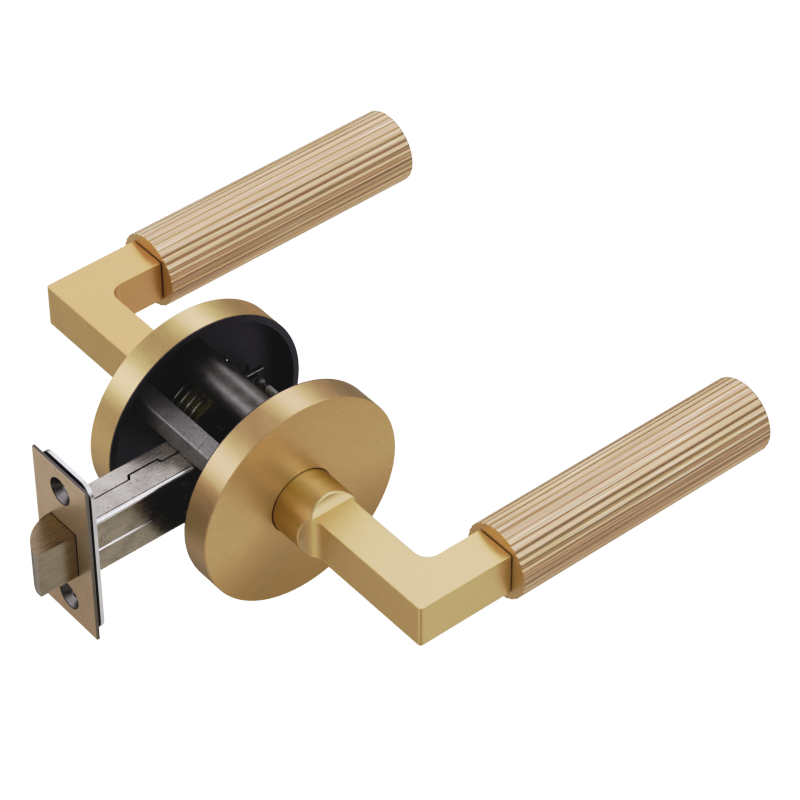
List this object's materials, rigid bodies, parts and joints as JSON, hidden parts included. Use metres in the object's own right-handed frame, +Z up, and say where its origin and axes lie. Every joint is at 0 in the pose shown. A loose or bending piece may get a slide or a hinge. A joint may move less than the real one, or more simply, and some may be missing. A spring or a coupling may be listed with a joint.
{
  "type": "lever handle lockset",
  "caption": "Lever handle lockset with round roses, L-shaped levers with reeded round grips, and a tubular spring latch with a bevelled bolt.",
  "frame": {"origin": "on the spindle axis, midway between the backs of the two roses", "axes": "+Y along the spindle from the front rose to the rear rose, +X the way the grips point, away from the latch, +Z up on the hung door"},
  "size_m": [0.1908, 0.1803, 0.067],
  "materials": {
    "rose_brass": "satin, fine straight grain",
    "lever_brass": "satin, fine grain",
    "reeded_brass": "satin, machined reeds",
    "end_cap_brass": "satin",
    "black_plate": "black satin coating",
    "black_bush": "black satin coating",
    "sleeve_steel": "dark grey, satin",
    "key_bar_steel": "grey, cast and ground",
    "dark_steel": "dark, oiled",
    "spring_steel": "oiled",
    "coil_steel": "oiled wire",
    "yellow_zinc": "yellow passivated",
    "bright_steel": "bright",
    "screw_steel": "zinc plated",
    "faceplate_brass": "satin",
    "backplate_steel": "plain",
    "case_steel": "rolled sheet, light scratches",
    "bolt_brass": "antique, striated"
  },
  "bodies": {
    "lock_frame": {"rear_rose_cover": "rose_brass", "front_rose_cover": "rose_brass", "rear_mounting_plate": "black_plate", "front_mounting_plate": "black_plate", "rear_lever_bush": "black_bush", "front_lever_bush": "black_bush", "upper_post_sleeve": "sleeve_steel", "lower_post_sleeve": "sleeve_steel", "mounting_screws": "screw_steel", "latch_side_key_bar": "key_bar_steel", "far_side_key_bar": "key_bar_steel", "alignment_dowel": "bright_steel", "rear_return_spring": "coil_steel", "front_return_spring": "coil_steel", "latch_faceplate": "faceplate_brass", "latch_backplate": "backplate_steel", "latch_case_near_half": "case_steel", "latch_case_far_half": "case_steel", "hub_cheek_near": "dark_steel", "hub_cheek_far": "dark_steel", "cheek_spacers": "bright_steel", "case_rivets": "bright_steel", "spring_seat": "spring_steel", "bolt_spring": "coil_steel", "front_key_stubs": "key_bar_steel"},
    "front_lever": {"front_lever_arm": "lever_brass", "front_grip": "reeded_brass", "front_grip_end_cap": "end_cap_brass", "front_grip_bolt": "screw_steel", "front_set_screw": "screw_steel", "front_retaining_ring": "spring_steel", "front_spring_driver": "yellow_zinc"},
    "rear_lever": {"rear_lever_arm": "lever_brass", "rear_grip": "reeded_brass", "rear_grip_end_cap": "end_cap_brass", "rear_grip_bolt": "screw_steel", "rear_set_screw": "screw_steel", "rear_retaining_ring": "spring_steel", "rear_spring_driver": "yellow_zinc"},
    "spindle_bar": {"spindle": "bright_steel"},
    "follower_hub": {"follower": "dark_steel"},
    "retractor_plate": {"retractor": "dark_steel"},
    "bolt": {"latch_bolt": "bolt_brass", "bolt_tail_rod": "bright_steel"}
  },
  "joints": [
    {"name": "front_lever_turn", "type": "hinge", "parent": "lock_frame", "child": "front_lever", "pos_m": [0, 0, 0], "axis": [0, 1, 0], "range_deg": [0, 62], "stiffness_Nm_per_rad": 0.6, "springref_deg": -34.38, "deforming": ["front_return_spring"]},
    {"name": "rear_lever_turn", "type": "hinge", "parent": "lock_frame", "child": "rear_lever", "pos_m": [0, 0, 0], "axis": [0, 1, 0], "range_deg": [0, 62], "stiffness_Nm_per_rad": 0.6, "springref_deg": -34.38, "deforming": ["rear_return_spring"]},
    {"name": "spindle_turn", "type": "hinge", "parent": "lock_frame", "child": "spindle_bar", "pos_m": [0, 0, 0], "axis": [0, 1, 0], "range_deg": [0, 62]},
    {"name": "follower_turn", "type": "hinge", "parent": "lock_frame", "child": "follower_hub", "pos_m": [0, 0, 0], "axis": [0, 1, 0], "range_deg": [0, 62]},
    {"name": "retractor_slide", "type": "slide", "parent": "lock_frame", "child": "retractor_plate", "axis": [1, 0, 0], "range_m": [0, 0.01206]},
    {"name": "bolt_slide", "type": "slide", "parent": "lock_frame", "child": "bolt", "axis": [1, 0, 0], "range_m": [0, 0.01206], "stiffness_N_per_m": 300, "springref_m": -0.015, "deforming": ["bolt_spring"]}
  ],
  "couplings": [
    {"joint": "rear_lever_turn", "follows": "front_lever_turn", "ratio": 1},
    {"joint": "spindle_turn", "follows": "front_lever_turn", "ratio": 1},
    {"joint": "follower_turn", "follows": "front_lever_turn", "ratio": 1},
    {"joint": "retractor_slide", "follows": "front_lever_turn", "m_per_rad": 0.011136},
    {"joint": "bolt_slide", "follows": "front_lever_turn", "m_per_rad": 0.011136}
  ]
}
